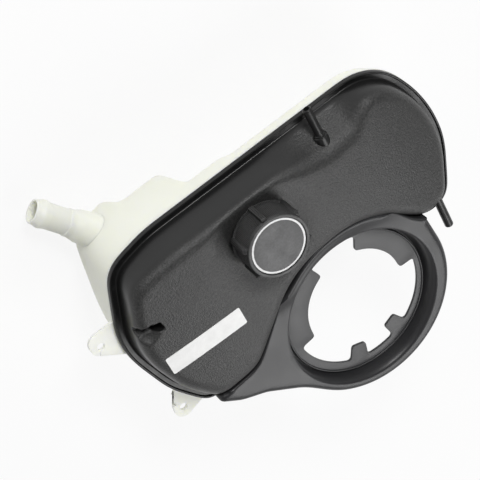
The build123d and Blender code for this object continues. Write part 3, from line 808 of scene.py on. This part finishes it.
def one_grip():
    """One of the cap's finger grips, standing out from the origin's axis: a bar with a nub near its top."""
    root = 28.4
    stands = [(43.0, 0.5), (43.5, 0.9)]
    stands += [(z, 1.0) for z in (44.2, 45.5, 46.3, 47.2, 50, 54, 58, 60.0, 60.9, 61.8, 62.6, 63.3, 64.2)]
    stands += [(65.0, 0.95), (65.8, 0.8), (66.5, 0.45)]
    half = [(0, 32.0), (0.8, 32.0), (1.2, 32.0), (1.8, 31.9), (2.2, 31.6), (2.4, 31.0), (2.5, 29.3), (2.6, 27.6)]
    section = [(-y, x) for y, x in half[:0:-1]] + half
    rings = []
    for z, stand in stands:
        nub = float(smoothstep(62.4, 63.2, z) * (1 - smoothstep(64.4, 65.4, z)))
        ring = []
        for y, x in section:
            out = root + (x - root) * stand if x > root else x
            ring.append((out + 0.5 * nub if abs(y) < 1.3 else out, y, z))
        rings.append(np.array(ring))
    return outwards(rings_object("cap_grips", rings, sharp=45), cap_ends=True)


def repeat_round():
    """A Geometry Nodes tree that repeats a piece round an upright axis."""
    tree = bpy.data.node_groups.new("repeat_round", "GeometryNodeTree")
    make, link = tree.nodes.new, tree.links.new
    face = tree.interface
    face.new_socket("Geometry", in_out="OUTPUT", socket_type="NodeSocketGeometry")
    for name, kind in (("Geometry", "NodeSocketGeometry"), ("Count", "NodeSocketInt"),
                       ("Start", "NodeSocketFloat"), ("Axis", "NodeSocketVector"),
                       ("Finish", "NodeSocketMaterial")):
        face.new_socket(name, in_out="INPUT", socket_type=kind)
    given = make("NodeGroupInput").outputs
    made = make("NodeGroupOutput").inputs
    spots = make("GeometryNodeMeshLine")
    link(given["Count"], spots.inputs["Count"])
    link(given["Axis"], spots.inputs["Start Location"])
    spots.inputs["Offset"].default_value = (0, 0, 0)
    step = make("ShaderNodeMath")
    step.operation = "DIVIDE"
    step.inputs[0].default_value = 2 * pi
    link(given["Count"], step.inputs[1])
    angle = make("ShaderNodeMath")
    angle.operation = "MULTIPLY_ADD"
    link(make("GeometryNodeInputIndex").outputs[0], angle.inputs[0])
    link(step.outputs[0], angle.inputs[1])
    link(given["Start"], angle.inputs[2])
    turn = make("ShaderNodeCombineXYZ")
    link(angle.outputs[0], turn.inputs["Z"])
    one = make("GeometryNodeGeometryToInstance")
    link(given["Geometry"], one.inputs[0])
    place = make("GeometryNodeInstanceOnPoints")
    link(spots.outputs[0], place.inputs["Points"])
    link(one.outputs[0], place.inputs["Instance"])
    link(turn.outputs[0], place.inputs["Rotation"])
    real = make("GeometryNodeRealizeInstances")
    link(place.outputs[0], real.inputs[0])
    finish = make("GeometryNodeSetMaterial")
    link(real.outputs[0], finish.inputs["Geometry"])
    link(given["Finish"], finish.inputs["Material"])
    link(finish.outputs[0], made[0])
    return tree


def repeated(piece, tree, **given):
    """Sets the tree's named inputs, runs it on the piece and leaves a plain mesh."""
    made = piece.modifiers.new("repeat", "NODES")
    made.node_group = tree
    for item in tree.interface.items_tree:
        if item.in_out == "INPUT" and item.name in given:
            made[item.identifier] = given[item.name]
    return apply_modifiers(piece)


# Finishes
class Finish:
    """A procedural finish built on one Principled shader."""

    def __init__(self, name, rough, specular=0.5):
        self.material = bpy.data.materials.new(name)
        self.material.use_nodes = True
        self.tree = self.material.node_tree
        self.shader = self.tree.nodes["Principled BSDF"]
        self.shader.inputs["Roughness"].default_value = rough
        self.shader.inputs["Specular IOR Level"].default_value = specular
        self.coords = self.node("ShaderNodeTexCoord").outputs["Object"]

    def node(self, kind, **values):
        node = self.tree.nodes.new(kind)
        for key, value in values.items():
            setattr(node, key, value)
        return node

    def link(self, a, b):
        self.tree.links.new(a, b)

    def noise(self, scale, detail=3.0, roughness=0.55, coords=None):
        node = self.node("ShaderNodeTexNoise")
        node.inputs["Scale"].default_value = scale
        node.inputs["Detail"].default_value = detail
        node.inputs["Roughness"].default_value = roughness
        self.link(coords or self.coords, node.inputs["Vector"])
        return node.outputs["Fac"]

    def ramp(self, value, low, high, dark=0.0, light=1.0):
        node = self.node("ShaderNodeMapRange")
        self.link(value, node.inputs["Value"])
        node.inputs["From Min"].default_value, node.inputs["From Max"].default_value = low, high
        node.inputs["To Min"].default_value, node.inputs["To Max"].default_value = dark, light
        return node.outputs["Result"]

    def math(self, kind, a, b=None):
        node = self.node("ShaderNodeMath", operation=kind)
        for socket, value in zip(node.inputs, (a, b)):
            if value is None:
                continue
            if isinstance(value, (int, float)):
                socket.default_value = value
            else:
                self.link(value, socket)
        return node.outputs[0]

    def mix(self, factor, a, b):
        node = self.node("ShaderNodeMix", data_type="RGBA")
        self.link(factor, node.inputs["Factor"])
        for socket, value in ((node.inputs[6], a), (node.inputs[7], b)):
            if isinstance(value, tuple):
                socket.default_value = (*value, 1)
            else:
                self.link(value, socket)
        return node.outputs[2]

    def attribute(self, name):
        return self.node("ShaderNodeAttribute", attribute_name=name).outputs["Fac"]

    def colour(self, value):
        if isinstance(value, tuple):
            self.shader.inputs["Base Color"].default_value = (*value, 1)
        else:
            self.link(value, self.shader.inputs["Base Color"])

    def rough(self, value):
        self.link(value, self.shader.inputs["Roughness"])

    def patchy_gloss(self, scale, low, high):
        """Roughness that drifts between two values in soft patches."""
        self.rough(self.ramp(self.noise(scale), 0.3, 0.7, low, high))

    def bump(self, height, strength, distance=0.0002, under=None):
        node = self.node("ShaderNodeBump")
        node.inputs["Distance"].default_value = distance
        self.link(height, node.inputs["Height"])
        if isinstance(strength, (int, float)):
            node.inputs["Strength"].default_value = strength
        else:
            self.link(strength, node.inputs["Strength"])
        if under is not None:
            self.link(under, node.inputs["Normal"])
        self.link(node.outputs["Normal"], self.shader.inputs["Normal"])
        return node.outputs["Normal"]


def grained_black_wall_shade():
    """Charcoal plastic: a pebbled grain on the crown that fades out on the smooth walls. The walls and the foot of
    the walls also get a darker colour as painted shade, and the up-facing crown a lighter one.
    """
    f = Finish("grained_black_wall_shade", 0.42, 0.42)
    grain = f.attribute("grain")
    cloudy = f.ramp(f.noise(14, 2), 0.3, 0.7)
    speck = f.ramp(f.noise(620, 3, 0.65), 0.35, 0.68)
    smooth = f.mix(cloudy, (0.010, 0.010, 0.010), (0.014, 0.014, 0.014))
    pebbled_lit_crown = f.mix(speck, (0.018, 0.018, 0.018), (0.044, 0.044, 0.043))
    # Painted shade: the colour follows the grain mask, which goes by how far each place faces up. So the walls and
    # their foot are painted darker and the crown lighter, on top of the real grain.
    f.colour(f.mix(grain, smooth, pebbled_lit_crown))
    f.rough(f.math("ADD", f.ramp(grain, 0, 1, 0.30, 0.40), f.ramp(cloudy, 0, 1, -0.02, 0.03)))
    fine = f.bump(f.noise(90, 2), 0.10, 0.0004)
    f.bump(f.noise(640, 4, 0.6), f.ramp(grain, 0, 1, 0.04, 0.9), 0.0006, fine)
    return f.material


def satin_panel():
    """Smooth black panel plastic with faint flow marks and a very fine grain."""
    f = Finish("satin_panel", 0.36, 0.35)
    cloudy = f.ramp(f.noise(11, 3), 0.3, 0.7)
    f.colour(f.mix(cloudy, (0.022, 0.022, 0.023), (0.028, 0.028, 0.030)))
    f.patchy_gloss(30, 0.33, 0.40)
    f.bump(f.noise(900, 3), 0.12, 0.0002)
    return f.material


def rim_black():
    """The moulded rim and stubs: smooth black with light handling scuffs."""
    f = Finish("rim_black", 0.30, 0.35)
    scuff = f.ramp(f.noise(160, 4), 0.55, 0.75)
    f.colour(f.mix(scuff, (0.009, 0.009, 0.009), (0.022, 0.022, 0.022)))
    f.patchy_gloss(60, 0.28, 0.42)
    f.bump(f.noise(500, 3), 0.15, 0.0002)
    return f.material


def natural_plastic():
    """Waxy natural plastic that lets a little light through."""
    f = Finish("natural_plastic", 0.42, 0.4)
    cloudy = f.ramp(f.noise(9, 3), 0.3, 0.7)
    f.colour(f.mix(cloudy, (0.86, 0.87, 0.77), (0.91, 0.92, 0.84)))
    f.shader.inputs["Subsurface Weight"].default_value = 0.45
    f.shader.inputs["Subsurface Radius"].default_value = (0.008, 0.008, 0.0055)
    f.shader.inputs["Subsurface Scale"].default_value = 1.0
    f.patchy_gloss(45, 0.36, 0.50)
    f.bump(f.noise(320, 3), 0.10, 0.0002)
    return f.material


def from_cap_axis(f):
    """Places measured from the cap's axis, for patterns that run round it."""
    shift = f.node("ShaderNodeMapping")
    shift.inputs["Location"].default_value = (-NECK[0] * MM, -NECK[1] * MM, 0)
    f.link(f.coords, shift.inputs["Vector"])
    parts = f.node("ShaderNodeSeparateXYZ")
    f.link(shift.outputs[0], parts.inputs[0])
    return parts.outputs


def cap_black():
    """The cap's matt black, with fine upright lines round its skirt."""
    f = Finish("cap_black", 0.40, 0.50)
    x, y, z = from_cap_axis(f)
    lines = f.math("SINE", f.math("MULTIPLY", f.math("ARCTAN2", y, x), 132.0))
    skirt = f.ramp(z, 0.0660, 0.0652)
    speck = f.ramp(f.noise(540, 3, 0.6), 0.35, 0.7)
    f.colour(f.mix(speck, (0.016, 0.016, 0.016), (0.030, 0.030, 0.030)))
    f.patchy_gloss(80, 0.40, 0.52)
    fine = f.bump(f.noise(800, 3), 0.30, 0.0003)
    f.bump(lines, f.math("MULTIPLY", skirt, 0.8), 0.0005, fine)
    return f.material


def cap_face_black():
    """The disc in the cap's top: grey black with one plain pale ring printed near its edge."""
    f = Finish("cap_face_black", 0.42, 0.45)
    x, y, z = from_cap_axis(f)
    from_axis = f.math("SQRT", f.math("ADD", f.math("MULTIPLY", x, x), f.math("MULTIPLY", y, y)))
    ring = f.math("ABSOLUTE", f.math("SUBTRACT", from_axis, 0.0242))
    worn = f.math("MULTIPLY", f.ramp(f.noise(420, 4), 0.35, 0.65, -1.0, 1.0), 0.00006)
    ink = f.ramp(f.math("ADD", ring, worn), 0.00090, 0.00078)
    speck = f.ramp(f.noise(500, 3, 0.6), 0.35, 0.7)
    ground = f.mix(speck, (0.042, 0.042, 0.043), (0.066, 0.066, 0.068))
    f.colour(f.mix(ink, ground, (0.80, 0.80, 0.80)))
    f.patchy_gloss(70, 0.40, 0.50)
    f.bump(f.noise(800, 3), 0.25, 0.0003)
    return f.material


def label_film():
    """Bare white film with a faint mottle and soft sheen."""
    f = Finish("label_film", 0.40, 0.4)
    mottle = f.ramp(f.noise(130, 4), 0.35, 0.65)
    f.colour(f.mix(mottle, (0.80, 0.80, 0.79), (0.86, 0.86, 0.85)))
    f.patchy_gloss(60, 0.34, 0.46)
    f.bump(f.noise(260, 3), 0.12, 0.0002)
    return f.material


def valve_nylon():
    """Glass filled nylon, matt, with short pale fibres near its surface."""
    f = Finish("valve_nylon", 0.55, 0.4)
    fibre = f.ramp(f.noise(900, 5, 0.7), 0.58, 0.72)
    f.colour(f.mix(fibre, (0.060, 0.060, 0.064), (0.13, 0.13, 0.13)))
    f.patchy_gloss(90, 0.50, 0.62)
    f.bump(f.noise(700, 3), 0.25, 0.0003)
    return f.material


def seal_black():
    """Matt rubber with a faint bloom."""
    f = Finish("seal_black", 0.7, 0.3)
    bloom = f.ramp(f.noise(70, 3), 0.4, 0.75)
    f.colour(f.mix(bloom, (0.016, 0.016, 0.016), (0.040, 0.040, 0.041)))
    f.patchy_gloss(200, 0.62, 0.78)
    f.bump(f.noise(900, 3), 0.2, 0.0002)
    return f.material


def steel(name, dark, light, low, high, grain):
    """Plated or drawn steel with patchy brightness and a fine surface grain."""
    f = Finish(name, 0.3, 0.5)
    f.shader.inputs["Metallic"].default_value = 1.0
    patch = f.ramp(f.noise(180, 4), 0.35, 0.65)
    f.colour(f.mix(patch, dark, light))
    f.patchy_gloss(240, low, high)
    f.bump(f.noise(grain, 3), 0.15, 0.0002)
    return f.material


dome_black = grained_black_wall_shade()
panel_black = satin_panel()
edge_black = rim_black()
natural = natural_plastic()
cap_finish = cap_black()
face_finish = cap_face_black()
zinc = steel("zinc_plate", (0.56, 0.56, 0.55), (0.68, 0.68, 0.66), 0.28, 0.42, 700)
wire = steel("drawn_wire", (0.44, 0.44, 0.46), (0.56, 0.56, 0.58), 0.20, 0.32, 1100)


def dress(piece, material, body, slot, *stands_for):
    """Gives a piece its finish and its body, and hides the CAD nodes that it stands for; slot is not used."""
    piece.data.materials.clear()
    piece.data.materials.append(material)
    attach(piece, body)
    if stands_for:
        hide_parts(*stands_for)


# Where the dome's mould is grained: the crown and shoulders, not the front wall or the foot of the walls. The same
# mask also paints shade: it darkens the colour of the walls and their foot, by how little they face up.
dome_points = points_of(dome)
normal = np.zeros(len(dome.data.vertices) * 3)
dome.data.vertices.foreach_get("normal", normal)
normal = normal.reshape(-1, 3)
set_attribute(dome, "grain", smoothstep(0.28, 0.62, normal[:, 2]) * smoothstep(9, 14, dome_points[:, 2]))

dress(dome, dome_black, "tank", "black_plastic", "upper_shell")
for piece in (rim, front_stub, rear_stub, neck, thread):
    dress(piece, edge_black, "tank", "black_plastic", "upper_shell")
for piece in (panel, teeth):
    dress(piece, panel_black, "tank", "panel_plastic", "collar_panel")
for piece in (tub, flange, bead, spigot, end_tab, rear_tab):
    dress(piece, natural, "tank", "natural_plastic", "lower_shell")


cap = cap_body()
disc = cap_disc()
grips = repeated(one_grip(), repeat_round(), Count=6, Start=radians(30),
                 Axis=(NECK[0] * MM, NECK[1] * MM, 0.0), Finish=cap_finish)
for piece in (cap, grips):
    dress(piece, cap_finish, "cap", "cap_plastic", "cap_shell")
dress(disc, face_finish, "cap", "face_plastic", "cap_face")

# The CAD's own pieces that stay keep their shapes and get a finish
KEPT = [
    (label_film(), ("blank_label",)),
    (zinc, ("panel_screw_1", "panel_screw_2", "panel_screw_3", "panel_screw_4", "pressure_plate",
            "vacuum_poppet")),
    (valve_nylon(), ("valve_housing", "spring_keeper")),
    (seal_black(), ("neck_ring", "face_seal", "plate_seal")),
    (wire, ("pressure_spring", "vacuum_spring", "stem_clip")),
]
for material, names in KEPT:
    for name in names:
        for spot in nodes[name].material_slots:
            spot.material = material


def stage():
    """A pale floor that keeps its shadow and nearly glows where the camera or a gloss sees it."""
    half, z = 2600, -80
    floor = mesh_object("floor", [(-half, -half, z), (half, -half, z), (half, half, z), (-half, half, z)],
                        [(0, 1, 2, 3)])
    material = bpy.data.materials.new("pale_floor")
    material.use_nodes = True
    tree = material.node_tree
    link = tree.links.new
    shader = tree.nodes["Principled BSDF"]
    shader.inputs["Base Color"].default_value = (0.82, 0.82, 0.82, 1)
    shader.inputs["Roughness"].default_value = 0.9
    shader.inputs["Specular IOR Level"].default_value = 0.1
    path = tree.nodes.new("ShaderNodeLightPath")
    glow = tree.nodes.new("ShaderNodeEmission")
    glow.inputs["Color"].default_value = (1, 1, 1, 1)
    glow.inputs["Strength"].default_value = 1.0
    blend = tree.nodes.new("ShaderNodeMixShader")
    seen = path.outputs["Is Camera Ray"]
    for ray in ("Is Glossy Ray", "Is Transmission Ray"):
        more = tree.nodes.new("ShaderNodeMath")
        more.operation = "MAXIMUM"
        link(seen, more.inputs[0])
        link(path.outputs[ray], more.inputs[1])
        seen = more.outputs[0]
    amount = tree.nodes.new("ShaderNodeMath")
    amount.operation = "MULTIPLY"
    amount.inputs[1].default_value = 0.88
    link(seen, amount.inputs[0])
    link(amount.outputs[0], blend.inputs["Fac"])
    link(shader.outputs[0], blend.inputs[1])
    link(glow.outputs[0], blend.inputs[2])
    link(blend.outputs[0], tree.nodes["Material Output"].inputs["Surface"])
    floor.data.materials.append(material)


def lamp(name, place, size, power):
    """A square soft lamp that faces the tank."""
    data = bpy.data.lights.new(name, "AREA")
    data.shape, data.size, data.energy = "SQUARE", size, power
    light = bpy.data.objects.new(name, data)
    light.location = place
    aim = Vector((-0.15, -0.02, 0.0)) - Vector(place)
    light.rotation_euler = aim.to_track_quat("-Z", "Y").to_euler()
    bpy.context.scene.collection.objects.link(light)


stage()
lamp("front_softbox", (-0.42, -1.22, 1.05), 0.42, 15)
lamp("rear_softbox", (-0.42, 1.02, 1.28), 0.9, 15)


def studio_sky():
    """Even white light that is brightest near the horizon, as from a studio's pale walls."""
    world = bpy.data.worlds.new("studio")
    world.use_nodes = True
    tree = world.node_tree
    link = tree.links.new
    way = tree.nodes.new("ShaderNodeSeparateXYZ")
    link(tree.nodes.new("ShaderNodeTexCoord").outputs["Generated"], way.inputs[0])
    fall = tree.nodes.new("ShaderNodeMapRange")
    fall.interpolation_type = "SMOOTHSTEP"
    fall.inputs["From Min"].default_value, fall.inputs["From Max"].default_value = 0.05, 0.80
    fall.inputs["To Min"].default_value, fall.inputs["To Max"].default_value = 0.75, 0.12
    link(way.outputs["Z"], fall.inputs["Value"])
    background = tree.nodes["Background"]
    background.inputs["Color"].default_value = (1, 1, 1, 1)
    link(fall.outputs["Result"], background.inputs["Strength"])
    return world


bpy.context.scene.world = studio_sky()
bpy.context.scene.view_settings.view_transform = "Standard"
